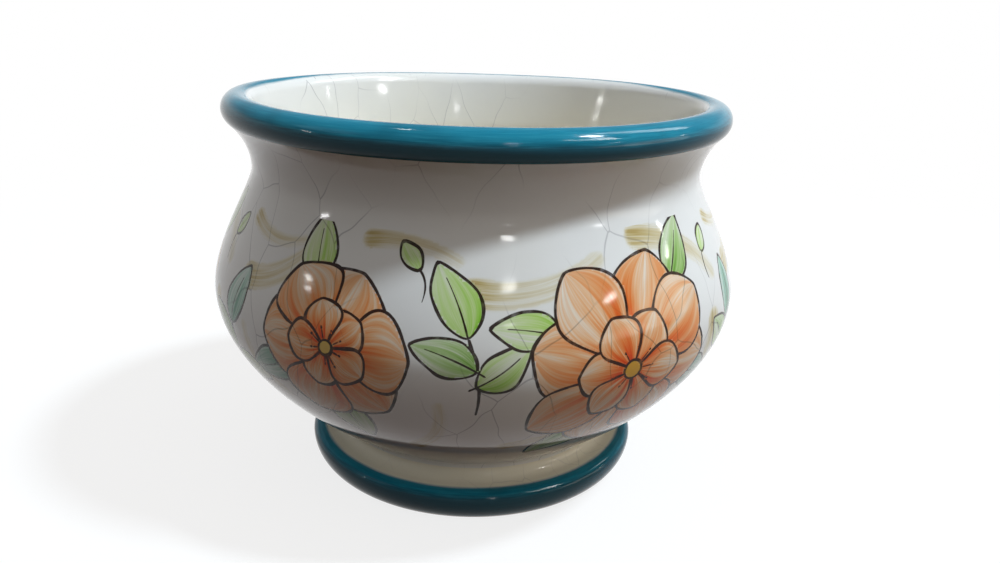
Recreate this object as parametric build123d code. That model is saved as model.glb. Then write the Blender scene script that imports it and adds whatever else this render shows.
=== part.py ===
from build123d import *

import os
from math import acos, atan2, cos, radians, sin, sqrt

# A round earthenware cachepot, made in four sections of clay that are luted together
# with slip: a footed bowl, a waisted collar, and a half-round coil laid on the mouth.
# Millimetres, Z up, with the axis of the pot on Z and the table at zero height.

# Whole pot
height = 156.0
rim_radius = 100.0
wall = 6.5
past_clay = 5.0  # how far a cutting outline runs past the clay

# Rolled rim, a half-round coil
roll_radius = 6.0

# Collar: the narrow neck under the rim
rim_overhang = 10.0  # rim beyond the narrowest part of the neck
neck_drop = 28.5  # from the crest of the rim down to the narrowest part

# Bowl
belly_radius = 107.0
belly_height = 80.5
shoulder_belly_share = 0.35  # how long the shoulder stays as steep as the belly
shoulder_neck_share = 0.15  # and as steep as the neck
flank_belly_share = 0.45
flank_foot_share = 0.20
flank_slope = 57.0  # degrees from upright where the flank runs into the foot
collar_seam_share = 0.80  # of the way up the shoulder
floor_thickness = 8.2
floor_radius = 48.0  # flat part of the floor inside
bowl_belly_share = 0.40  # how long the inside stays as steep as the belly
bowl_floor_share = 0.32  # how far the floor runs on before it turns up

# Foot ring
foot_radius = 71.0
foot_widest_height = 9.5
foot_side_curve = 11.5
foot_edge_curve = 3.5
groove_depth = 12.5  # hollow between the foot and the belly, in from the foot
cove_curve = 4.0
foot_web = 6.0  # thickness of the ring where it meets the bowl
sole_width = 9.0  # the ring's resting face
sole_curve = 0.8

# Slip that lutes one section to the next
slip_thickness = 0.6
key_width = 2.4  # V-shaped key turned into each seat
key_depth = 1.2
slip_fillet = 2.0  # bead of slip wiped round inside the foot


def arc(centre, radius, start, end):
    """The shorter arc of a circle between two points on it."""
    middle = (start - centre).normalized() + (end - centre).normalized()
    return ThreePointArc(start, centre + middle.normalized() * radius, end)


def blend(start, start_handle, end_handle, end):
    """A smooth curve that leaves start and reaches end along two handles."""
    return Bezier(start, start + start_handle, end + end_handle, end)


def spin(face):
    """Turn a half section, drawn as radius and height, into a ring of clay."""
    return revolve(Plane.XZ * face, axis=Axis.Z)


def slip_band(inner, outer, depth):
    """Keyed strip of slip below the line from inner to outer.

    The V of the key points down by depth, or up where depth is negative.
    """
    along = (outer - inner).normalized()
    up = Vector(-along.Y, along.X)
    middle = (inner + outer) / 2
    top = [
        inner - along * past_clay,
        middle - along * key_width / 2,
        middle - up * depth,
        middle + along * key_width / 2,
        outer + along * past_clay,
    ]
    bottom = [point - up * slip_thickness for point in reversed(top)]
    return make_face(Polyline(*top, *bottom, close=True))


# Centres of the round stretches of the outline, from the rim down to the foot
roll_centre = Vector(rim_radius - roll_radius, height - roll_radius)
neck_radius = rim_radius - rim_overhang
neck_height = height - neck_drop
neck_rise = roll_centre.Y - neck_height
neck_curve = (neck_rise**2 + rim_overhang**2 - 2 * roll_radius * rim_overhang) / (2 * rim_overhang)
neck_centre = Vector(neck_radius + neck_curve, neck_height)
foot_top = foot_widest_height + foot_edge_curve
groove_radius = foot_radius - groove_depth
cove_centre = Vector(groove_radius + cove_curve, foot_top + cove_curve)
edge_centre = Vector(foot_radius - foot_edge_curve, foot_widest_height)
side_centre = Vector(foot_radius - foot_side_curve, foot_widest_height)
sole_radius = side_centre.X + sqrt(foot_side_curve**2 - foot_widest_height**2)
base_height = cove_centre.Y + slip_thickness / 2  # underside of the bowl
floor_height = base_height + floor_thickness

# Points where one stretch of the outline runs into the next, outside
to_roll = (roll_centre - neck_centre).normalized()
roll_touch = neck_centre + to_roll * neck_curve
crest = roll_centre + Vector(0, roll_radius)
neck_waist = Vector(neck_radius, neck_height)
belly = Vector(belly_radius, belly_height)
slope = radians(flank_slope)
flank_way = Vector(sin(slope), cos(slope))
cove_top = cove_centre + Vector(-cos(slope), sin(slope)) * cove_curve
cove_foot = cove_centre - Vector(0, cove_curve)
edge_top = edge_centre + Vector(0, foot_edge_curve)
foot_widest = Vector(foot_radius, foot_widest_height)
sole_edge = Vector(sole_radius, 0)

# And inside, where the throat runs up into the roll along a line that touches both
throat_curve = neck_curve + wall
turn = acos((throat_curve - roll_radius) / (neck_curve + roll_radius))
throat_angle = atan2(to_roll.Y, to_roll.X) + turn
throat_side = Vector(cos(throat_angle), sin(throat_angle))
roll_inside = roll_centre + throat_side * roll_radius
throat_top = neck_centre + throat_side * throat_curve
throat_waist = Vector(neck_radius - wall, neck_height)
belly_inside = Vector(belly_radius - wall, belly_height)
floor_edge = Vector(floor_radius, floor_height)

# Outline of the clay, from the sole up the outside and down the inside
shoulder_rise = neck_height - belly_height
shoulder_start = Vector(0, shoulder_rise * shoulder_belly_share)
shoulder_end = Vector(0, -shoulder_rise * shoulder_neck_share)
flank_fall = belly - cove_top
bowl_fall = belly_inside - floor_edge
shoulder = blend(belly, shoulder_start, shoulder_end, neck_waist)
shoulder_inside = blend(belly_inside, shoulder_start, shoulder_end, throat_waist)
outline = [
    Line(Vector(0, 0), sole_edge),
    arc(side_centre, foot_side_curve, sole_edge, foot_widest),
    arc(edge_centre, foot_edge_curve, foot_widest, edge_top),
    Line(edge_top, cove_foot),
    arc(cove_centre, cove_curve, cove_foot, cove_top),
    blend(
        cove_top,
        flank_way * flank_fall.length * flank_foot_share,
        Vector(0, -flank_fall.Y * flank_belly_share),
        belly,
    ),
    shoulder,
    arc(neck_centre, neck_curve, neck_waist, roll_touch),
    arc(roll_centre, roll_radius, roll_touch, crest),
    arc(roll_centre, roll_radius, crest, roll_inside),
    Line(roll_inside, throat_top),
    arc(neck_centre, throat_curve, throat_top, throat_waist),
    shoulder_inside,
    blend(
        belly_inside,
        Vector(0, -bowl_fall.Y * bowl_belly_share),
        Vector(bowl_fall.X * bowl_floor_share, 0),
        floor_edge,
    ),
    Line(floor_edge, Vector(0, floor_height)),
    Line(Vector(0, floor_height), Vector(0, 0)),
]
clay = make_face(outline)

# Hollow inside the foot ring, open to the table
recess_radius = groove_radius - foot_web
recess = make_face(
    Polyline(
        (0, 0),
        (sole_radius - sole_width, 0),
        (recess_radius, base_height),
        (0, base_height),
        close=True,
    )
)
section = clay - recess
section = fillet(section.vertices().group_by(Axis.Y)[0], sole_curve)
recess_corner = recess.vertices().sort_by(Axis.Y)[-2:].sort_by(Axis.X)[-1]
slip_bead = recess - fillet(recess_corner, slip_fillet)

# Seats: square across the foot, across the wall of the shoulder, and across the roll,
# on the line through its centre, which leaves the coil half-round
foot_seat = slip_band(
    Vector(recess_radius, base_height), Vector(groove_radius, base_height), -key_depth
)
collar_seat = slip_band(
    shoulder_inside @ collar_seam_share, shoulder @ collar_seam_share, key_depth
)
rim_seat = slip_band(roll_centre + to_roll * roll_radius, roll_touch, key_depth)

slip_faces = [section & seat for seat in (foot_seat, collar_seat, rim_seat)]
slip_faces[0] = slip_faces[0] + slip_bead
sections = (section - foot_seat - collar_seat - rim_seat).faces().sort_by(Axis.Y)

pieces = {
    "foot_ring": sections[0],
    "foot_slip_joint": slip_faces[0],
    "bowl": sections[1],
    "collar_slip_joint": slip_faces[1],
    "collar": sections[2],
    "rim_slip_joint": slip_faces[2],
    "rim_roll": sections[3],
}

os.makedirs("parts", exist_ok=True)
for name, face in pieces.items():
    export_step(spin(face), f"parts/{name}.step")
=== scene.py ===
import math

import bpy
import numpy as np
from mathutils import Matrix, Vector


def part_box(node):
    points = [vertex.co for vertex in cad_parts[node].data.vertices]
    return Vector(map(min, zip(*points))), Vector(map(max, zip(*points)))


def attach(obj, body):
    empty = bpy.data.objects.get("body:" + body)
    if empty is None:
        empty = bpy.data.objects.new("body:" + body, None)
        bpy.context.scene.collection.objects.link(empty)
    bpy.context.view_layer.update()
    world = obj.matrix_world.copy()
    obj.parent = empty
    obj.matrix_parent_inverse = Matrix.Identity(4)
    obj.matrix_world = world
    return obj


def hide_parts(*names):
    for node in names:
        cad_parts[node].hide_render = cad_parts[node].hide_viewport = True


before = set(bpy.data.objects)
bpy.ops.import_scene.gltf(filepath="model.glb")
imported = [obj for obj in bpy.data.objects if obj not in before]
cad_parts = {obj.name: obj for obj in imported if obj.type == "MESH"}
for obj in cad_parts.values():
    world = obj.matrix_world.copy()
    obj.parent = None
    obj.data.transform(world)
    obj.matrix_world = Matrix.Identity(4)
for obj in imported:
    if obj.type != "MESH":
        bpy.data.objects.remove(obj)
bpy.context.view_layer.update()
mm = 0.001


# Bowl: the big lower section of the pot, thrown in white earthenware and turned to an even wall.
# It stands on the foot ring, carries the collar on its upper edge, and is glazed inside and out
# over a painting in thin brushed colours and dark brown outlines.

wall = 6.5 * mm
belly_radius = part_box("bowl")[1].x
base_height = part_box("bowl")[0].z
belly_height = 80.5 * mm
floor_thickness = 8.2 * mm
floor_height = base_height + floor_thickness
floor_radius = 48.0 * mm  # flat part of the floor inside
neck_radius = 90.0 * mm
neck_height = 127.5 * mm
shoulder_belly_share = 0.35  # how long the shoulder stays as steep as the belly
shoulder_neck_share = 0.15  # and as steep as the neck
flank_belly_share = 0.45  # the same for the flank, below the belly
flank_foot_share = 0.20
flank_slope = math.radians(57.0)  # from upright, where the flank runs into the foot
bowl_belly_share = 0.40  # how long the inside stays as steep as the belly
bowl_floor_share = 0.32  # how far the floor runs on before it turns up
collar_seam_share = 0.80  # of the way up the shoulder
foot_top = 13.0 * mm  # top of the foot ring, where the cove under the bowl starts
groove_radius = 58.5 * mm  # the deepest part of that cove
cove_curve = 4.0 * mm
cove_centre = np.array([groove_radius + cove_curve, foot_top + cove_curve])
pot_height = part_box("rim_roll")[1].z
sharp_turn = math.radians(40)  # from face to face, past which an edge looks sharp

columns = 600  # of the mesh, round the pot
painted_from = 30.0 * mm  # height where the painting can start
painted_step = 1.0 * mm  # from row to row of the mesh where the painting is
low_step = 2.5 * mm  # below it
under_step = 10 * mm  # underneath the bowl
edge_step = 2 * mm  # across the upper edge
inside_step = 5 * mm
floor_step = 8 * mm


def arc(centre, radius, start, end, count=40):
    """Points of a circle: centre + radius (cos t, sin t), with t going evenly from start to end."""
    t = np.linspace(start, end, count)
    return np.asarray(centre) + radius * np.stack([np.cos(t), np.sin(t)], 1)


def blend(start, start_handle, end_handle, end, count=400):
    """Points of a cubic Bezier curve that leaves start and reaches end along two handles."""
    t = np.linspace(0, 1, count)[:, None]
    start, end = np.asarray(start), np.asarray(end)
    first, second = start + start_handle, end + end_handle
    middle = 3 * first * t * (1 - t) ** 2 + 3 * second * t**2 * (1 - t)
    return start * (1 - t) ** 3 + middle + end * t**3


def measured(line):
    """Length along a line from its first point to each of its points."""
    return np.concatenate([[0], np.cumsum(np.hypot(*np.diff(line, axis=0).T))])


def respaced(line, step):
    """The same line with its points about one step apart."""
    length = measured(line)
    even = np.linspace(0, length[-1], max(2, round(length[-1] / step) + 1))
    return np.stack([np.interp(even, length, line[:, 0]), np.interp(even, length, line[:, 1])], 1)


def joined(*lines):
    """Lines end to end as one, without the points that two of them share."""
    return np.concatenate([lines[0]] + [line[1:] for line in lines[1:]])


def thrown(radius, height, angle):
    """A point of the section (radius, height) at an angle round the pot, as a place in space.

    Throwing and drying leave the pot a little uneven. Slow waves in the angle widen it by
    share * wide and lift it by share^2 * lift, where the share grows from 0 at the foot to 1 at
    the rim. The rim dips at the back.
    """
    share = np.clip((height - base_height) / (pot_height - base_height), 0, 1)
    wide = 0.40 * np.sin(angle) - 0.45 * np.cos(2 * angle) + 0.12 * np.cos(3 * angle - 1.1)
    lean = 0.80 * np.cos(angle) - 0.30 * np.sin(angle) - 0.50
    lift = lean - 0.45 * np.cos(2 * angle) + 0.10 * np.cos(5 * angle + 0.4)
    reach = radius + share * wide * mm * (radius > 0)
    return np.stack([reach * np.sin(angle), -reach * np.cos(angle), height + share**2 * lift * mm], -1)


def turned(name, section, **marks):
    """A solid of clay: the section, drawn with the clay on its left, carried once round the pot.

    Where the section starts and ends on the axis, one vertex closes each end. Otherwise it
    closes on itself. Each mark is a value for every point of the section, which the mesh keeps
    for its glaze.
    """
    on_axis = section[0, 0] == 0
    body = section[1:-1] if on_axis else section
    ring = np.arange(columns)
    after = (ring + 1) % columns
    angle = ring * 2 * np.pi / columns
    places = thrown(body[:, 0, None], body[:, 1, None], angle[None, :]).reshape(-1, 3)
    rows = np.arange(len(body) - 1 if on_axis else len(body))[:, None]
    here, right = rows * columns + ring, rows * columns + after
    above = (here + columns) % (len(body) * columns)
    above_right = (right + columns) % (len(body) * columns)
    faces = np.stack([here, right, above_right, above], -1).reshape(-1, 4).tolist()
    if on_axis:
        ends = thrown(section[[0, -1], 0], section[[0, -1], 1], np.zeros(2))
        last = (len(body) - 1) * columns
        low, high = len(places), len(places) + 1
        places = np.concatenate([places, ends])
        faces += np.stack([after, ring, np.full(columns, low)], -1).tolist()
        faces += np.stack([last + ring, last + after, np.full(columns, high)], -1).tolist()
    mesh = bpy.data.meshes.new(name)
    mesh.from_pydata(places.tolist(), [], faces)
    mesh.shade_smooth()
    mesh.set_sharp_from_angle(angle=sharp_turn)
    for mark, values in marks.items():
        whole = np.repeat(values[1:-1] if on_axis else values, columns)
        if on_axis:
            whole = np.append(whole, values[[0, -1]])
        mesh.attributes.new(mark, "FLOAT", "POINT").data.foreach_set("value", whole.astype(np.float32))
    piece = bpy.data.objects.new(name, mesh)
    bpy.context.scene.collection.objects.link(piece)
    return piece


belly = np.array([belly_radius, belly_height])
waist = np.array([neck_radius, neck_height])
belly_inside = belly - [wall, 0]
floor_edge = np.array([floor_radius, floor_height])
cove_top = cove_centre + cove_curve * np.array([-np.cos(flank_slope), np.sin(flank_slope)])
rise = neck_height - belly_height
fall = belly - cove_top
bowl_fall = belly_inside - floor_edge
shoulder_handles = [0, rise * shoulder_belly_share], [0, -rise * shoulder_neck_share]
flank_handle = np.array([np.sin(flank_slope), np.cos(flank_slope)]) * np.hypot(*fall) * flank_foot_share
shoulder = blend(belly, *shoulder_handles, waist)
shoulder_inside = blend(belly_inside, *shoulder_handles, waist - [wall, 0])
seam = round(collar_seam_share * (len(shoulder) - 1)) + 1
flank = blend(cove_top, flank_handle, [0, -fall[1] * flank_belly_share], belly)
low_flank = flank[flank[:, 1] < painted_from]
high_flank = flank[flank[:, 1] >= painted_from]
inside = blend(
    belly_inside,
    [0, -bowl_fall[1] * bowl_belly_share],
    [bowl_fall[0] * bowl_floor_share, 0],
    floor_edge,
)
cove_start = math.pi - math.asin((base_height - cove_centre[1]) / cove_curve)
cove = arc(cove_centre, cove_curve, cove_start, math.pi - flank_slope, 8)
outside = joined(
    cove,
    respaced(joined(low_flank, high_flank[:1]), low_step),
    respaced(joined(high_flank, shoulder[:seam]), painted_step),
)
underneath = respaced(np.array([[0, base_height], cove[0]]), under_step)[:-1]
edge = respaced(np.array([shoulder[seam - 1], shoulder_inside[seam - 1]]), edge_step)[1:-1]
bowl_section = np.concatenate([
    underneath,
    outside,
    edge,
    respaced(joined(shoulder_inside[:seam][::-1], inside), inside_step),
    respaced(np.array([floor_edge, [0, floor_height]]), floor_step)[1:],
])
first_outside = len(underneath)
last_outside = first_outside + len(outside) - 1
bowl_length = measured(bowl_section)
below_edge = np.maximum(
    bowl_length[last_outside] - bowl_length,
    bowl_length - bowl_length[last_outside + len(edge) + 1],
)
is_inside = np.arange(len(bowl_section)) > last_outside + len(edge) / 2
bowl = turned("bowl_glazed", bowl_section, way=-np.maximum(below_edge, 0), cream=is_inside * 1.0)


class Wire:
    """A socket of a material, so that sums on it are written as in plain Python."""

    def __init__(self, tree, socket=None):
        self.tree = tree
        self.socket = socket

    def add(self, kind, settings=None, sockets=None, output=0):
        """A new node of a kind: its settings first, then the value or wire of each socket."""
        node = self.tree.nodes.new("ShaderNode" + kind)
        for name, setting in (settings or {}).items():
            setattr(node, name, setting)
        for name, value in (sockets or {}).items():
            if isinstance(value, Wire):
                self.tree.links.new(value.socket, node.inputs[name])
            else:
                node.inputs[name].default_value = value
        return Wire(self.tree, node.outputs[output])

    def maths(self, operation, *terms):
        """A sum on numbers or wires, named as its node names it."""
        return self.add("Math", {"operation": operation}, dict(enumerate(terms)))

    def clamped(self):
        """The same, but 0 where it is less than 0 and 1 where it is more than 1."""
        return self.add("Math", {"operation": "ADD", "use_clamp": True}, {0: self, 1: 0.0})

    def between(self, low, high):
        """0 up to low, 1 from high on, and a smooth step between them."""
        ends = {"Value": self, "From Min": low, "From Max": high}
        return self.add("MapRange", {"interpolation_type": "SMOOTHSTEP"}, ends)

    def mix(self, none, full):
        """One colour where this is 0, another where it is 1, and their mixture between."""
        return self.add("Mix", {"data_type": "RGBA"}, {0: self, 6: none, 7: full}, output=2)

    def part(self, name):
        """The X, Y or Z of a vector, or the red, green or blue of a colour."""
        return self.add("SeparateXYZ", None, {0: self}, output="XYZ".index(name))

    def stretched(self, x, y, z):
        """A vector with its three parts multiplied by three numbers."""
        return self.add("VectorMath", {"operation": "MULTIPLY"}, {0: self, 1: (x, y, z)})

    def noise(self, scale, detail=2.0, roughness=0.5):
        """Smooth noise, mostly between 0.3 and 0.7, with scale waves in each unit of length."""
        sockets = {"Vector": self, "Scale": scale, "Detail": detail, "Roughness": roughness}
        return self.add("TexNoise", None, sockets)

    def mark(self, name, output="Fac"):
        """What the mesh keeps under a name for this place."""
        return self.add("Attribute", {"attribute_name": name}, output=output)

    def __add__(self, other):
        return self.maths("ADD", self, other)

    def __sub__(self, other):
        return self.maths("SUBTRACT", self, other)

    def __rsub__(self, other):
        return self.maths("SUBTRACT", other, self)

    def __mul__(self, other):
        return self.maths("MULTIPLY", self, other)

    def __truediv__(self, other):
        return self.maths("DIVIDE", self, other)

    def __pow__(self, other):
        return self.maths("POWER", self, other)

    def __abs__(self):
        return self.maths("ABSOLUTE", self)

    __radd__ = __add__
    __rmul__ = __mul__


def fired(name, colour_of, relief_of, roughness_of, shine):
    """A material of fired clay or glaze.

    Its colour, relief and roughness are worked out from a place on the pot.
    """
    material = bpy.data.materials.new(name)
    material.use_nodes = True
    tree = material.node_tree
    surface = tree.nodes["Principled BSDF"]
    place = Wire(tree).add("TexCoord", output=3)
    surface.inputs["Specular IOR Level"].default_value = shine
    bump = place.add("Bump", None, {"Strength": 1.0, "Distance": 1.0, "Height": relief_of(place)})
    found = {"Base Color": colour_of(place), "Roughness": roughness_of(place), "Normal": bump}
    for socket, wire in found.items():
        tree.links.new(wire.socket, surface.inputs[socket])
    return material


white = (0.76, 0.76, 0.75, 1)
warm_white = (0.73, 0.70, 0.62, 1)
cream = (0.82, 0.775, 0.64, 1)
crack_grey = (0.27, 0.26, 0.28, 1)
glaze_shine = 0.14
unrolled_radius = 100 * mm  # at which the surface is unrolled for the cracks
crack_tallness_share = 0.6  # of the length up the pot that counts, which makes the cells tall
crack_scale = 52.0
crack_bend = 0.014  # how far noise moves the cells' borders, in metres
crack_strength = 0.55
crack_loss = 0.38  # how much of that is lost where the glaze is cream


def crazing(place):
    """Cracks in the glaze: borders of tall cells on the unrolled surface, bent, and faded in places.

    The angle round the pot jumps where it starts again, so front and back have a pattern each,
    and both fade out towards the two sides.
    """
    x, y = place.part("X"), place.part("Y")
    drift = place.add("TexNoise", None, {"Vector": place, "Scale": 30.0, "Detail": 2.0}, output=1)
    cracks = []
    for facing in (-1, 1):
        angle = place.maths("ARCTAN2", x * -facing, y * facing)
        across, along = angle * unrolled_radius, place.mark("way") * crack_tallness_share
        flat = place.add("CombineXYZ", None, {0: across, 1: along, 2: 0.0})
        bend = {0: drift, 1: (crack_bend,) * 3, 2: flat}
        bent = place.add("VectorMath", {"operation": "MULTIPLY_ADD"}, bend)
        cells = {"feature": "DISTANCE_TO_EDGE", "voronoi_dimensions": "2D"}
        border = place.add("TexVoronoi", cells, {"Vector": bent, "Scale": crack_scale})
        cracks.append((1 - border.between(0.003, 0.015)) * (y * facing).between(0.0, 8 * mm))
    return (cracks[0] + cracks[1]) * place.noise(22.0, 1.0).between(0.40, 0.60)


def glaze_white(place):
    """White tin glaze with fine grey cracks, a little warmer where it lies thick.

    Inside the pot it is cream, partly painted warm reflection, and its cracks are fainter.
    """
    thick = place.noise(14.0, 2.0).between(0.35, 0.75) * 0.3
    creamy = place.mark("cream")
    plain = creamy.mix(thick.mix(white, warm_white), cream)
    return (crazing(place) * (crack_strength - creamy * crack_loss)).mix(plain, crack_grey)


def glaze_relief(place):
    """Glaze that ran a little: soft dimples, and faint rings left by the throwing."""
    rings = place.stretched(0.15, 0.15, 1).noise(150.0, 1.0)
    return place.noise(38.0, 1.0) * (0.10 * mm) + rings * (0.03 * mm)


def glaze_gloss(place):
    """How rough the glaze is: almost a mirror, and a little duller in patches."""
    return place.noise(60.0, 2.0).between(0.2, 0.8) * 0.05 + 0.06


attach(bowl, "root")
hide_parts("bowl")


# Painting on the bowl: thin colour laid with a soft brush, with every edge drawn in dark brown.
# Three large and three small blooms go round the belly, with leaves, buds and pale swashes.
# The points of the bowl's mesh keep the colour and its faces' corners the lines, in millimetres.

girth = outside[:, 0] / mm
high = measured(outside) / mm
high -= high[np.argmax(girth)]  # above the belly, along the clay
around = np.arange(columns) * 2 * np.pi / columns
rows = len(outside)
line_reach = 2.0  # how far from a line the faces keep it
far = 99.0  # distance that stands for no line
pigment = np.zeros((rows, columns, 4))  # what a full coat lets through, and how full the coat is
pigment[..., :3] = 1
brush = np.zeros((rows, columns, 3))  # across and along the brush's way, and which stroke it is
ink = np.zeros((rows - 1, columns, 4, 4))  # at a corner: distance and half width of two lines
ink[..., 0] = ink[..., 2] = far
ink_gap = np.full((rows - 1, columns, 2), far)  # from the middle of the face to those lines
hand = np.random.default_rng(23)

orange = (0.94, 0.32, 0.10)
leaf_green = (0.66, 0.88, 0.37)
moss_green = (0.46, 0.68, 0.27)
sea_green = (0.27, 0.56, 0.43)
straw = (0.80, 0.71, 0.48)
ochre = (0.85, 0.58, 0.14)


def laid(points, x, y, turn):
    """Points of a sketch turned clockwise by degrees and moved to (x, y)."""
    cos, sin = math.cos(math.radians(turn)), math.sin(math.radians(turn))
    return np.asarray(points) @ np.array([[cos, -sin], [sin, cos]]) + [x, y]


def lifted(places, x, y, turn):
    """The other way round: where places lie in a sketch that was laid like that."""
    cos, sin = math.cos(math.radians(turn)), math.sin(math.radians(turn))
    return (places - [x, y]) @ np.array([[cos, sin], [-sin, cos]])


def sheet(angle, height, turn, reach):
    """The part of the bowl under a sketch, as its faces and points and where they lie in the sketch.

    Before the sketch is turned, across is the angle from its middle times the radius of the clay
    there, and along is the length up the clay.
    """
    x = ((around - math.radians(angle) + math.pi) % (2 * math.pi) - math.pi) * girth[:, None]
    y = np.broadcast_to((high - height)[:, None], x.shape)
    flat = lifted(np.stack([x, y], -1), 0, 0, turn)
    near = np.hypot(x, y) < reach
    right = (np.arange(columns) + 1) % columns
    row, column = np.nonzero(near[:-1] & near[:-1, right] & near[1:] & near[1:, right])
    after = (column + 1) % columns
    ring = (row, column), (row, after), (row + 1, after), (row + 1, column)
    return {
        "faces": np.stack([row, column]),
        "corners": np.stack([flat[corner] for corner in ring], 1),
        "points": np.stack(np.nonzero(near)),
        "places": flat[near],
    }


def beside(line, places):
    """Where places lie by a line of straight steps: distance, side, and the length passed there.

    A place goes by the step that comes nearest to it. Its side is its distance from the line, less
    than 0 on the right. Past the line's two ends it is measured from the end step drawn out, so
    that it runs on evenly.
    """
    step = np.diff(line, axis=0)
    length = np.hypot(*step.T)
    step = step / length[:, None]
    away = places[..., None, :] - line[:-1]
    along = (away * step).sum(-1)
    off = away - np.clip(along, 0, length)[..., None] * step
    gap = np.hypot(off[..., 0], off[..., 1])
    across = away[..., 1] * step[:, 0] - away[..., 0] * step[:, 1]
    before = np.broadcast_to(np.cumsum(length) - length, gap.shape)
    best = gap.argmin(-1)[..., None]
    of_steps = gap, along, across, before
    gap, along, across, before = (np.take_along_axis(v, best, -1)[..., 0] for v in of_steps)
    passed = before + along
    on_line = (passed > 0) & (passed < length.sum())
    return gap, np.where(on_line, gap * np.where(across < 0, -1, 1), across), passed


def enclosed(line, places):
    """Whether a closed line goes round each place.

    It does where a ray from the place to the right crosses the line an odd number of times.
    """
    (x0, y0), (x1, y1) = line[:-1].T, line[1:].T
    x, y = places[..., :1], places[..., 1:]
    crossing = x0 + (y - y0) * (x1 - x0) / np.where(y1 == y0, 1, y1 - y0)
    return (((y0 > y) != (y1 > y)) & (x < crossing)).sum(-1) % 2 == 1


def draw(under, line, half_width, lift=0.0, closed=False):
    """An ink line, thinner by lift towards its end, kept by the faces that have no two nearer lines."""
    line = np.asarray(line, float)
    gap = beside(line, under["corners"].mean(1))[0]
    close = gap < line_reach
    row, column = under["faces"][:, close]
    gap, corners = gap[close], under["corners"][close]
    corner_gap, side, passed = beside(line, corners)
    total = np.hypot(*np.diff(line, axis=0).T).sum()
    pressure = 1 + 0.25 * np.sin(passed / 3.1 + hand.uniform(0, 6)) * (0.5 + 0.5 * np.sin(passed / 7.3))
    half = half_width * pressure * (1 - lift * np.clip(passed / total, 0, 1))
    if closed:
        side = np.where(enclosed(line, corners), -corner_gap, corner_gap)
    else:
        half = np.minimum(half, 0.6 * half_width + np.minimum(passed, total - passed))
    mine = np.stack([side, half], -1)
    first = gap < ink_gap[row, column, 0]
    at = row[first], column[first]
    ink[*at, :, 2:] = ink[*at, :, :2]
    ink_gap[*at, 1] = ink_gap[*at, 0]
    ink[*at, :, :2] = mine[first]
    ink_gap[*at, 0] = gap[first]
    second = ~first & (gap < ink_gap[row, column, 1])
    at = row[second], column[second]
    ink[*at, :, 2:] = mine[second]
    ink_gap[*at, 1] = gap[second]


def washed(under, line, colour, coat, across, along):
    """Thin colour inside a closed line, over whatever was painted there before."""
    within = enclosed(line, under["places"])
    at = tuple(under["points"][:, within])
    pigment[*at, :3] = colour
    pigment[*at, 3] = coat[within]
    stroke = np.full(within.sum(), hand.uniform(0, 50))
    brush[at] = np.stack([across[within], along[within], stroke], 1)
    covered = enclosed(line, under["corners"].mean(1))
    at = tuple(under["faces"][:, covered])
    ink[at] = [far, 0, far, 0]
    ink_gap[at] = far


def petal(under, x, y, turn, length, width, colour, fullness=1.5, roundness=0.75, bend=0.0,
          pale=0.4, deep=1.5, half_width=0.52, shaded=0.0):
    """A petal or leaf with its base at (x, y), washed deepest at the base and outlined in ink.

    At a share t of its length it is width * sin(pi t^fullness)^roundness to each side of its middle,
    which bends aside by bend * t^2. Slow waves make the outline uneven. Shaded makes one half deeper.
    """
    t = (1 - np.cos(np.linspace(0, np.pi, 41))) / 2
    edges = []
    for way in (-1, 1):
        phase = hand.uniform(0, 6, 2)
        uneven = 1 + 0.05 * np.sin(6 * t + phase[0]) + 0.02 * np.sin(13 * t + phase[1])
        half = width * np.sin(np.pi * t**fullness).clip(0) ** roundness * uneven
        edges.append(np.stack([bend * t**2 + way * half, t * length], 1))
    line = laid(np.concatenate([edges[0], edges[1][-2::-1]]), x, y, turn)
    own = lifted(under["places"], x, y, turn)
    along = (own[:, 1] / length).clip(0.001, 0.999)
    half = width * np.sin(np.pi * along**fullness) ** roundness
    across = ((own[:, 0] - bend * along**2) / half).clip(-1, 1)
    coat = pale + (deep - pale) * (1 - along) ** 1.6 + shaded * (across > 0) * (1 - along)
    washed(under, line, colour, coat * (1 + 0.25 * across * hand.uniform(-1, 1)), across, along)
    draw(under, line, half_width, closed=True)


def curve(start, middle, end, count=16):
    """A bent line: start (1-t)^2 + 2 middle t (1-t) + end t^2, with t going evenly from 0 to 1."""
    t = np.linspace(0, 1, count)[:, None]
    start, middle, end = np.asarray(start), np.asarray(middle), np.asarray(end)
    return start * (1 - t) ** 2 + 2 * middle * t * (1 - t) + end * t**2


def leaf(under, x, y, turn, length, colour):
    """A pointed leaf with a short stalk and one bent vein, washed deeper to one side of the vein."""
    width = 0.29 * length
    bend = 4.0 * hand.choice([-1, 1])
    petal(under, x, y, turn, length, width, colour, fullness=0.84, roundness=0.80, bend=bend,
          pale=0.45, deep=1.1, half_width=0.48, shaded=0.7)
    share = np.linspace(-0.14, 0.78, 14)  # of the leaf's length, from the stalk's end up the vein
    vein = np.stack([bend * share**2, length * share], 1)
    draw(under, laid(vein, x, y, turn), 0.42, lift=0.6)


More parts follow.
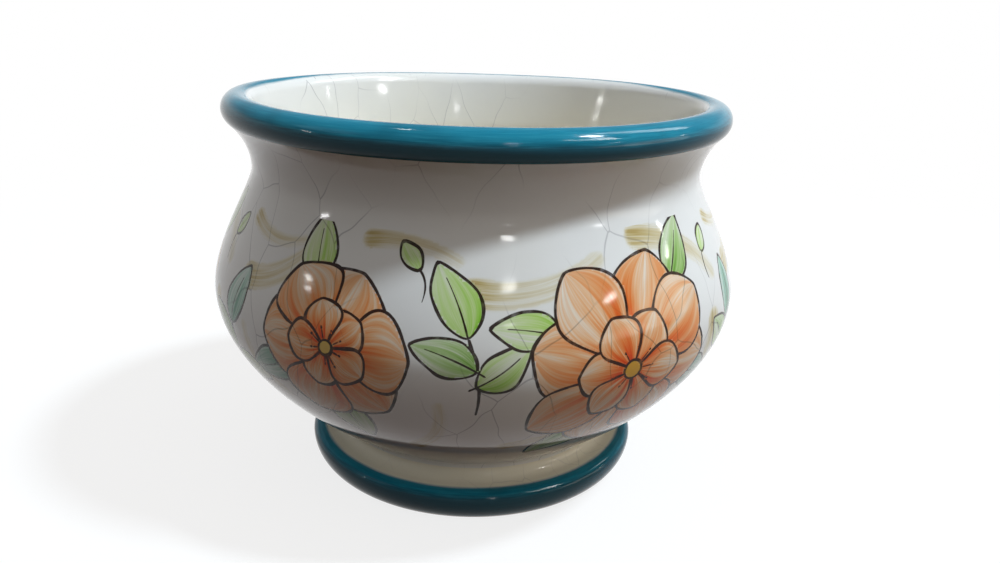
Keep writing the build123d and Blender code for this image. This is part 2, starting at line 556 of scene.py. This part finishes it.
def swash(angle, height, turn, length, bend, half_width=5.4):
    """A pale, soft brush stroke without an outline, heaviest where the brush was set down."""
    under = sheet(angle, height, turn, reach=length)
    line = curve((0, -length / 2), (bend, 0), (0, length / 2))
    gap, side, passed = beside(line, under["places"])
    share = passed / length
    gone = share.clip(0, 1)
    soft_edge = 1.8
    inside = (half_width * (1 - 0.3 * gone) - gap) / soft_edge
    coat = 0.9 * (1 + 0.9 * np.exp(-((share / 0.13) ** 2)) - 0.45 * gone)
    soft = inside.clip(0, 1) * coat
    here = soft > 0.01
    at = tuple(under["points"][:, here])
    under_it, soft = pigment[*at, 3], soft[here]
    pigment[*at, :3] = straw
    pigment[*at, 3] = np.maximum(under_it, soft) + 0.35 * np.minimum(under_it, soft)
    stroke = np.full(len(soft), turn)
    brush[at] = np.stack([side[here] / half_width, share[here] * length / 24, stroke], 1)


def alternate(count):
    """Every second of count petals, then those between, which come to lie over them."""
    return [*range(0, count, 2), *range(1, count, 2)]


def bloom(angle, height, turn, size, outer, inner):
    """A bloom with two rings of petals round an eye, and short lines with dots round the eye."""
    under = sheet(angle, height, turn, reach=42 * size)
    half_turn = 180 / outer
    eye_radius = 3.0 * size
    for k in alternate(outer):
        way = 2 * half_turn * k + hand.uniform(-4, 4)
        x, y = laid([[0, eye_radius]], 0, 0, way)[0]
        length, width = size * hand.uniform(28, 32), size * hand.uniform(88, 98) / outer
        bend = hand.uniform(-3, 3)
        petal(under, x, y, way, length, width, orange, roundness=0.72, bend=bend, pale=0.45, deep=1.8)
    for k in alternate(inner):
        way = 360 / inner * k + half_turn + hand.uniform(-5, 5)
        length, width = size * hand.uniform(17, 19.5), size * hand.uniform(40, 46) / inner
        bend = hand.uniform(-1.5, 1.5)
        petal(under, 0, 0, way, length, width, orange, bend=bend, pale=0.4, deep=2.4)
    round_eye = np.linspace(0, 2 * np.pi, 25)
    eye = eye_radius * np.stack([np.sin(round_eye), np.cos(round_eye)], 1)
    none = np.zeros(len(under["places"]))
    washed(under, eye, ochre, none + 1.4, none, none)
    draw(under, eye, 0.5, closed=True)
    for k in range(9):
        way = 40 * k + hand.uniform(-7, 7)
        reach = size * hand.uniform(5.6, 7.4)
        draw(under, laid([[0, 3.2 * size], [0, reach]], 0, 0, way), 0.28)
        draw(under, laid([[0, reach + 0.2], [0, reach + 0.9]], 0, 0, way), 0.62)


def bud(angle, height, x, y, turn):
    """A small closed bud on a bent stalk."""
    under = sheet(angle, height, 0, reach=30)
    length = 11.0
    width = 0.30 * length
    petal(under, x, y, turn, length, width, leaf_green, fullness=0.95, roundness=0.66,
          pale=0.8, deep=1.2, half_width=0.46)
    stalk = curve((0, 0), (0.5, -5), (5 * hand.choice([-1, 1]), -9), 9)
    draw(under, laid(stalk, x, y, turn), 0.40, lift=0.5)


def sprig(angle, height, turn, colours, size):
    """A bent stem with a leaf to each side and one at its tip."""
    under = sheet(angle, height, turn, reach=60 * size)
    draw(under, size * curve((0, -10), (5, 6), (0, 23)), 0.52, lift=0.3)
    leaf(under, 1.5 * size, 3 * size, 66 + hand.uniform(-6, 6), 24 * size, colours[0])
    leaf(under, 2.2 * size, 9 * size, -52 + hand.uniform(-6, 6), 25 * size, colours[1])
    leaf(under, 0.2 * size, 21 * size, hand.uniform(-8, 8), 28 * size, colours[2])


def sprung(angle, height, way, distance, length, colour):
    """A leaf that comes out from behind a bloom, in a direction clockwise from up."""
    under = sheet(angle, height, 0, reach=1.3 * (distance + length))
    x, y = laid([[0, distance]], 0, 0, way)[0]
    leaf(under, x, y, way + hand.uniform(-14, 14), length, colour)


for third in (0, 120, 240):
    swash(third + 12, 30, 78, 42, 8)
    swash(third + 47, 30, 118, 44, -9)
    swash(third + 58, -12, 160, 30, 7)
    swash(third + 18, -38, 80, 34, -6, 3.4)
    swash(third - 42, 27, 60, 36, 8)
    swash(third - 12, 38, 100, 30, -5, 3.6)
    swash(third - 9, -28, 20, 30, 7, 3.6)
    swash(third - 46, -12, -30, 28, -6, 3.6)
    swash(third + 74, 37, 95, 30, 6, 3.6)
for third in (0, 120, 240):
    sprig(third, -8, -6, (leaf_green, moss_green, leaf_green), 0.92)
    sprig(third + 62, -20, 14, (leaf_green, moss_green, sea_green), 0.88)
    sprung(third + 30, -3, 38, 31, 26, moss_green)
    sprung(third + 30, -3, 112, 29, 27, sea_green)
    sprung(third + 30, -3, 205, 27, 27, moss_green)
    sprung(third + 30, -3, -62, 30, 23, leaf_green)
    sprung(third - 27, 4, 170, 19, 26, moss_green)
    sprung(third - 27, 4, -120, 19, 25, sea_green)
    sprung(third - 27, 4, -20, 20, 24, leaf_green)
    bud(third - 5, 34, -9, -2, -35)
    bud(third + 55, 26, 2, 2, 30)
    bloom(third + 30, -4, 10 + third, 1.2, 8, 6)
    bloom(third - 27, 3, 24 + third, 0.88, 6, 5)


def keep(name, kind, slot, domain, values, elsewhere):
    """Values for the bowl's outside, kept by its mesh under a name, with one value elsewhere."""
    data = bowl.data.attributes.new(name, kind, domain).data
    whole = np.tile(np.array(elsewhere, np.float32), (len(data), 1))
    times = 4 if domain == "CORNER" else 1  # a face has four corners
    first = times * (first_outside - 1) * columns
    values = values.reshape(-1, len(elsewhere))
    whole[first:first + len(values)] = values
    data.foreach_set(slot, whole.ravel())


keep("ink", "FLOAT_COLOR", "color", "CORNER", ink, (far, 0, far, 0))
keep("pigment", "FLOAT_COLOR", "color", "POINT", pigment, (0, 0, 0, 0))
keep("brush", "FLOAT_VECTOR", "vector", "POINT", brush, (0, 0, 0))

brown_ink = (0.020, 0.006, 0.004, 1)
ink_edge = 0.14  # over which a line fades out at its side


def painted_white(place):
    """The white glaze with the painting in it.

    A coat lets through its colour to the power of its thickness, which a hair brush leaves
    uneven. A line covers what is nearer to it than its own half width.
    """
    way = place.mark("brush", "Vector")
    broad = way.stretched(2.6, 0.8, 1.7).noise(1.0, 1.0).between(0.3, 0.75)
    hairs = way.stretched(12.0, 1.2, 1.3).noise(1.0, 3.0, 0.6).between(0.25, 0.75)
    thickness = place.mark("pigment", "Alpha") * (broad * 1.05 + hairs * 0.75 + 0.12)
    full = place.mark("pigment", "Color")
    filtered = {index: full.part(name) ** thickness for index, name in enumerate("XYZ")}
    through = place.add("CombineXYZ", None, filtered)
    multiply = {"data_type": "RGBA", "blend_type": "MULTIPLY"}
    colour = place.add("Mix", multiply, {0: 1.0, 6: glaze_white(place), 7: through}, output=2)
    uneven = place.noise(170.0, 2.0) * 0.9 + 0.55
    lines = place.mark("ink", "Color")
    first = (lines.part("Y") * uneven - abs(lines.part("X"))) / ink_edge + 0.5
    second = (place.mark("ink", "Alpha") * uneven - abs(lines.part("Z"))) / ink_edge + 0.5
    drawn = place.maths("MAXIMUM", first, second).clamped()
    fullness = place.noise(260.0).between(0.15, 0.5) * 0.25 + 0.72
    return (drawn * fullness).mix(colour, brown_ink)


painted_glaze = fired("painted_glaze", painted_white, glaze_relief, glaze_gloss, glaze_shine)
bowl.data.materials.append(painted_glaze)


# Collar: the waisted neck above the bowl, a thrown ring with the same wall.
# It is luted to the bowl's upper edge with slip, which the glaze hides. It flares out to carry
# the rim, and is glazed like the bowl, turning cream inside, partly as painted warm reflection.

roll_radius = 6.0 * mm
cream_depth = 40 * mm  # down the inside, to full cream, which is partly painted reflection
collar_step = 1.5 * mm  # from row to row of the mesh
neck_step = 1.0 * mm  # the same round the outside of the neck
roll_centre = np.array([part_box("rim_roll")[1].x - roll_radius, pot_height - roll_radius])
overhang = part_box("rim_roll")[1].x - neck_radius
neck_rise = roll_centre[1] - neck_height
neck_curve = (neck_rise**2 + overhang**2 - 2 * roll_radius * overhang) / (2 * overhang)
neck_centre = waist + [neck_curve, 0]
to_roll = math.atan2(*(roll_centre - neck_centre)[::-1])
throat_curve = neck_curve + wall
roll_inside = to_roll + math.acos((throat_curve - roll_radius) / (neck_curve + roll_radius))
shoulder_top = respaced(shoulder[seam - 1:], collar_step)
neck_outside = respaced(arc(neck_centre, neck_curve, math.pi, to_roll), neck_step)
collar_section = np.concatenate([
    shoulder_top,
    neck_outside[1:],
    arc(roll_centre, roll_radius, to_roll, roll_inside, 6),
    respaced(arc(neck_centre, throat_curve, roll_inside, math.pi), collar_step),
    respaced(shoulder_inside[seam - 1:][::-1], collar_step)[1:],
])
collar_length = measured(collar_section)
below_rim = collar_length - collar_length[len(shoulder_top) + len(neck_outside)]
collar = turned(
    "collar_glazed",
    collar_section,
    way=np.minimum(collar_length, collar_length[-1] - collar_length),
    cream=np.clip(below_rim / cream_depth, 0, 1) ** 1.5,
)
white_glaze = fired("white_glaze", glaze_white, glaze_relief, glaze_gloss, glaze_shine)
collar.data.materials.append(white_glaze)
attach(collar, "root")
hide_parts("collar", "collar_slip_joint")


# Rim: a half-round coil of clay laid on the flared edge of the collar and smoothed down.
# A band of teal glaze is brushed on while the pot turns, so its streaks run round the rim.
# Its underside is painted dark teal, as shade.

teal = (0.010, 0.195, 0.295, 1)
light_teal = (0.028, 0.29, 0.40, 1)
# The darkest teal serves for random deeper patches and for painted shade.
dark_teal = (0.002, 0.045, 0.072, 1)
teal_shine = 0.12
teal_inner_edge = math.radians(127)  # where the teal stops inside, as an angle round the roll
pool_edge = math.radians(8)  # below here the rim's underside is painted dark teal as shade, as an angle too
band_thinning = 1.2 * mm  # how far the brush's streaks move the edge of a band
pool_thinning = 3 * mm  # and the edge of the painted shade
narrower_behind = 2.3 * mm  # how much of the band is missing at the back of the rim
narrows_from, narrowest_from = 20 * mm, 75 * mm  # behind the pot's axis
roll = arc(roll_centre, roll_radius, to_roll - math.pi, to_roll, 33)
roll_section = np.concatenate([roll, respaced(roll[[-1, 0]], 3 * mm)[1:-1]])
roll_length = measured(roll_section)
rim = turned(
    "rim_roll_glazed",
    roll_section,
    way=roll_length,
    band=(teal_inner_edge - to_roll + math.pi) * roll_radius - roll_length,
    pool=roll_length - (pool_edge - to_roll + math.pi) * roll_radius,
)


def banded(place, narrower=0.0):
    """Teal glaze in streaks that run round the pot, ragged where the band ends on the white."""
    x, y = place.part("X"), place.part("Y")
    streaks = place.add("CombineXYZ", None, {0: x * 0.05, 1: y * 0.05, 2: place.mark("way")})
    streak = streaks.noise(1400.0, 3.0, 0.6)
    # Below the shade edge the teal is painted dark: shade on the rim's underside and low on the foot.
    above_pool = place.mark("pool") + (streak - 0.5) * pool_thinning
    pooled = 1 - above_pool.between(-1.5 * mm, 2.5 * mm)
    # Deeper teal: the painted shade, and random deeper patches.
    deep = place.maths("MAXIMUM", pooled * 0.85, place.noise(40.0).between(0.45, 0.8) * 0.4)
    colour = deep.mix((streak.between(0.35, 0.75) * 0.6).mix(teal, light_teal), dark_teal)
    within_band = place.mark("band") - narrower + (streak - 0.5) * band_thinning
    return within_band.between(-0.8 * mm, 1.2 * mm).mix(glaze_white(place), colour)


def rim_band(place):
    """The band on the rim, narrower at the back, where the white comes up to the crest."""
    return banded(place, place.part("Y").between(narrows_from, narrowest_from) * narrower_behind)


teal_glaze = fired("teal_glaze", rim_band, glaze_relief, glaze_gloss, teal_shine)
rim.data.materials.append(teal_glaze)
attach(rim, "root")
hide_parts("rim_roll", "rim_slip_joint")


# Foot ring: a thick turned ring under the bowl, hollow inside, with a cove where it meets the bowl.
# It wears a second band of teal outside. Its inner top and the cove stay cream, and the sole is
# wiped bare to stand on.
# Low down its band of teal is painted dark, as shade.

foot_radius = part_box("foot_ring")[1].x
foot_side_curve = 11.5 * mm
foot_edge_curve = 3.5 * mm
foot_widest_height = foot_top - foot_edge_curve
sole_width = 9.0 * mm
sole_curve = 0.8 * mm  # of the sole's rounded edges
sole_curve_turn = 0.06  # radians of the foot's side that this edge takes up
foot_web = 6.0 * mm  # thickness of the ring where it meets the bowl
teal_top_radius = 65.6 * mm  # where the teal stops on top of the ring
foot_pool = 14 * mm  # up the clay from the sole, where the teal is painted dark as shade
wiped_past = 1.2 * mm  # how far past the sole the glaze is wiped off
recess_step = 2 * mm  # from row to row of the mesh, up the inside and on the sole
side_step = 0.8 * mm  # up the outside
top_step = 0.5 * mm  # across the top
recess_radius = groove_radius - foot_web
side_centre = np.array([foot_radius - foot_side_curve, foot_widest_height])
edge_centre = np.array([foot_radius - foot_edge_curve, foot_widest_height])
sole_turn = -math.asin(foot_widest_height / foot_side_curve)
sole_radius = side_centre[0] + foot_side_curve * math.cos(sole_turn)
recess_wall = np.array([[recess_radius, base_height], [sole_radius - sole_width, sole_curve]])
sole = np.array([[sole_radius - sole_width + sole_curve, 0], [sole_radius - sole_curve, 0]])
foot_section = np.concatenate([
    respaced(recess_wall, recess_step),
    respaced(sole, recess_step),
    respaced(arc(side_centre, foot_side_curve, sole_turn + sole_curve_turn, 0), side_step),
    arc(edge_centre, foot_edge_curve, 0, math.pi / 2, 12)[1:],
    respaced(np.array([[edge_centre[0], foot_top], [cove_centre[0], foot_top]]), top_step)[1:],
    arc(cove_centre, cove_curve, -math.pi / 2, -2 * math.pi + cove_start, 16)[1:],
])
foot_length = measured(foot_section)
sole_points = np.nonzero(foot_section[:, 1] == 0)[0]
top_points = np.nonzero(abs(foot_section[:, 1] - foot_top) < 1e-9)[0]
teal_stop = np.interp(-teal_top_radius, -foot_section[top_points, 0], foot_length[top_points])
sole_start, sole_stop = foot_length[sole_points[[0, -1]]]
foot = turned(
    "foot_ring_glazed",
    foot_section,
    way=foot_length,
    band=np.minimum(foot_length - sole_stop, teal_stop - foot_length),
    pool=foot_length - sole_stop - foot_pool,
    cream=(foot_section[:, 0] < teal_top_radius) * 1.0,
    bare=np.minimum(foot_length - sole_start, sole_stop - foot_length) + wiped_past,
)
bare_clay = (0.62, 0.47, 0.34, 1)
dark_clay = (0.50, 0.36, 0.25, 1)


def wiped(place):
    """1 where the glaze was wiped off, with a narrow soft edge."""
    return place.mark("bare").between(-0.3 * mm, 0.3 * mm)


def wiped_colour(place):
    """Bare speckled clay where the foot is wiped, and the band of teal on the rest of it."""
    speckle = place.noise(900.0, 2.0).between(0.35, 0.7)
    return wiped(place).mix(banded(place), speckle.mix(bare_clay, dark_clay))


def wiped_gloss(place):
    """As rough as the glaze, and far rougher where it is wiped."""
    return wiped(place) * 0.7 + glaze_gloss(place)


wiped_teal_glaze = fired("wiped_teal_glaze", wiped_colour, glaze_relief, wiped_gloss, teal_shine)
foot.data.materials.append(wiped_teal_glaze)
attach(foot, "root")
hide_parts("foot_ring")


# Slip at the foot: the bead of thick slip that lutes the foot ring to the bowl, wiped round with
# a finger. It shows only from underneath, in the corner of the recess, and is left unglazed.

slip_fillet = 2.0 * mm
slip_hidden = 0.3 * mm  # how far the bead reaches into the clay beside it
slip_step = 0.4 * mm  # from row to row of the mesh
handle_share = 0.55  # of the bead's width, for the handles of its hollow face
pale_slip = (0.68, 0.57, 0.44, 1)
dark_slip = (0.58, 0.46, 0.33, 1)
slip_shine = 0.3
corner = np.array([recess_radius, base_height])
down = (recess_wall[1] - recess_wall[0]) / np.hypot(*(recess_wall[1] - recess_wall[0]))
bead_face = blend(
    corner - [slip_fillet, 0],
    [slip_fillet * handle_share, 0],
    -down * slip_fillet * handle_share,
    corner + down * slip_fillet,
    30,
)
bead_section = np.concatenate([
    [corner + [slip_hidden, slip_hidden]],
    [corner - [slip_fillet, -slip_hidden]],
    respaced(bead_face, slip_step),
    [corner + down * slip_fillet + [slip_hidden, 0]],
])
bead = turned("foot_slip_bead", bead_section)


def slip_colour(place):
    """Dry slip, darker in fine patches."""
    return place.noise(500.0, 3.0).between(0.3, 0.7).mix(pale_slip, dark_slip)


def slip_relief(place):
    """Drag marks of the finger that run round the bead, and fine grain."""
    marks = place.stretched(0.2, 0.2, 1).noise(900.0, 2.0)
    return marks * (0.06 * mm) + place.noise(2500.0) * (0.02 * mm)


def slip_roughness(place):
    """Dull all over."""
    return place.noise(700.0) * 0.2 + 0.7


bead.data.materials.append(fired("fired_slip", slip_colour, slip_relief, slip_roughness, slip_shine))
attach(bead, "root")
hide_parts("foot_slip_joint")


# Table, light and camera: a white table in a white studio. One strong lamp high on the right
# lights the pot, and weak ones fill in low on the right, on the left and in front. Far windows
# show only as glints in the glaze.

table_reach = 6.0  # metres from the pot to the table's edges
near_glow_to, white_from = 0.25, 0.7  # metres from the pot, between which the table turns white
near_glow_strength = 0.80
near_grey = (0.20, 0.20, 0.20, 1)  # of the table near the pot, for the shadow to fall on
dim_red = (0.04, 0.015, 0.008, 1)  # what it throws back at the pot from below
table_mesh = bpy.data.meshes.new("table")
corners = [(-table_reach, -table_reach, 0), (table_reach, -table_reach, 0)]
corners += [(table_reach, table_reach, 0), (-table_reach, table_reach, 0)]
table_mesh.from_pydata(corners, [], [(0, 1, 2, 3)])
table = bpy.data.objects.new("table", table_mesh)
bpy.context.scene.collection.objects.link(table)


def seen_directly(start):
    """1 for what the camera sees, straight or reflected, and 0 for light that falls on the pot."""
    kinds = 0, 3, 6  # rays from the camera, glossy rays, and rays passed through glass
    camera_ray, glossy_ray, passed_ray = (start.add("LightPath", output=kind) for kind in kinds)
    return (camera_ray + glossy_ray + passed_ray).clamped()


table_surface = bpy.data.materials.new("pale_table")
table_surface.use_nodes = True
tree = table_surface.node_tree
tree.nodes.remove(tree.nodes["Principled BSDF"])
place = Wire(tree).add("TexCoord", output=3)
seen = seen_directly(place)
distance = (place.part("X") ** 2 + place.part("Y") ** 2) ** 0.5
plain = distance.between(near_glow_to, white_from) * seen
pure_white = (1, 1, 1, 1)
lit = place.add("BsdfDiffuse", None, {"Color": seen.mix(dim_red, near_grey)})
near_glow = place.add("Emission", None, {"Color": pure_white, "Strength": seen * near_glow_strength})
near = place.add("AddShader", None, {0: lit, 1: near_glow})
white_glow = place.add("Emission", None, {"Color": pure_white, "Strength": 1.0})
both = place.add("MixShader", None, {0: plain, 1: near, 2: white_glow})
tree.links.new(both.socket, tree.nodes["Material Output"].inputs["Surface"])
table_mesh.materials.append(table_surface)

world = bpy.data.worlds.new("studio")
bpy.context.scene.world = world
world.use_nodes = True
tree = world.node_tree
direction = Wire(tree).add("TexCoord", output=0)
up = direction.part("Z")
room = up.between(0.0, 0.7).mix((0, 0, 0, 1), (0.47, 0.46, 0.445, 1))  # dark low down
backdrop = up.between(0.12, 0.34).mix(pure_white, (0.42, 0.45, 0.48, 1))  # white low down
sky = seen_directly(direction).mix(room, backdrop)
tree.links.new(sky.socket, tree.nodes["Background"].inputs["Color"])


def lamp(name, azimuth, elevation, wide, tall, level, colour=(1, 1, 1), turn=0):
    """A far lamp, so many degrees wide and tall, that lights a white surface facing it to a level."""
    distance = 6.0
    data = bpy.data.lights.new(name, "AREA")
    data.shape = "ELLIPSE"
    data.size = distance * math.radians(wide)
    data.size_y = distance * math.radians(tall)
    data.color = colour
    data.energy = level * (math.pi * distance) ** 2
    piece = bpy.data.objects.new(name, data)
    a, e = math.radians(azimuth), math.radians(elevation)
    back = Vector((math.sin(a) * math.cos(e), -math.cos(a) * math.cos(e), math.sin(e)))
    piece.location = Vector((0, 0, pot_height / 2)) + back * distance
    facing = back.to_track_quat("Z", "Y").to_matrix()
    piece.rotation_euler = (facing @ Matrix.Rotation(math.radians(turn), 3, "Z")).to_euler()
    bpy.context.scene.collection.objects.link(piece)
    return piece


def window(name, azimuth, elevation, wide, tall, glow=75, turn=0):
    """A far window, glow times as bright as white, that shows in the glaze and lights nothing."""
    solid_angle = math.pi / 4 * math.radians(wide) * math.radians(tall)
    glass = lamp(name, azimuth, elevation, wide, tall, glow * solid_angle / math.pi, turn=turn)
    glass.visible_diffuse = False


lamp("key", 77, 57, 7, 7, 0.98, (0.78, 0.89, 0.98))
lamp("fill_right", 80, 5, 40, 20, 0.18, (1, 0.90, 0.76))
lamp("fill_right_low", 62, 2, 30, 8, 0.06, (1, 0.92, 0.82))
lamp("fill_left", -75, 35, 30, 20, 0.035, (0.9, 0.95, 1))
lamp("fill_front", 0, 3.5, 60, 7, 0.012, (1, 0.9, 0.8))
window("window_front", 15, 31.4, 6, 1.6)
window("window_front_low", 14.2, 18.7, 3.5, 1.4, 50)
window("window_side", 97, 15, 3.5, 0.8, 60)
window("window_left", -77, 17.6, 5, 0.8, 90)
window("window_left_low", -75.5, 15.3, 4, 0.7, 70)
window("window_right", 60, 19.9, 6, 1.0, 110)
window("window_right_high", 67, 45, 8, 14, 30)
window("ceiling", -125, 71, 6, 2.5, 60)
window("strip_back", 114.5, 47, 14, 34, 8, turn=11)
window("strip_back_core", 114.5, 47, 6, 32, 45, turn=11)
window("strip_top", 97, 62.8, 12, 3, 20, turn=-24)
window("strip_front", 58.5, 41.6, 24, 4, 36, turn=-25)

image_width = 1000  # pixels, in which the focal length and the turn of the camera were measured
focal_pixels = 861.04
camera_place = (0, -0.35428, 0.19593)
pitch, yaw, roll_turn = np.radians([18.8646, 1.7632, 1.6179])  # down, right, and up on the right
camera_data = bpy.data.cameras.new("camera")
camera_data.sensor_width = 36.0
camera_data.lens = camera_data.sensor_width * focal_pixels / image_width
camera = bpy.data.objects.new("camera", camera_data)
bpy.context.scene.collection.objects.link(camera)
ahead = np.array([np.sin(yaw) * np.cos(pitch), np.cos(yaw) * np.cos(pitch), -np.sin(pitch)])
level_right = np.array([np.cos(yaw), -np.sin(yaw), 0])
level_up = np.cross(level_right, ahead)
aim = np.eye(4)
aim[:3, 0] = np.cos(roll_turn) * level_right + np.sin(roll_turn) * level_up
aim[:3, 1] = -np.sin(roll_turn) * level_right + np.cos(roll_turn) * level_up
aim[:3, 2] = -ahead
aim[:3, 3] = camera_place
camera.matrix_world = Matrix(aim.tolist())
bpy.context.scene.camera = camera
bpy.context.scene.view_settings.view_transform = "Standard"
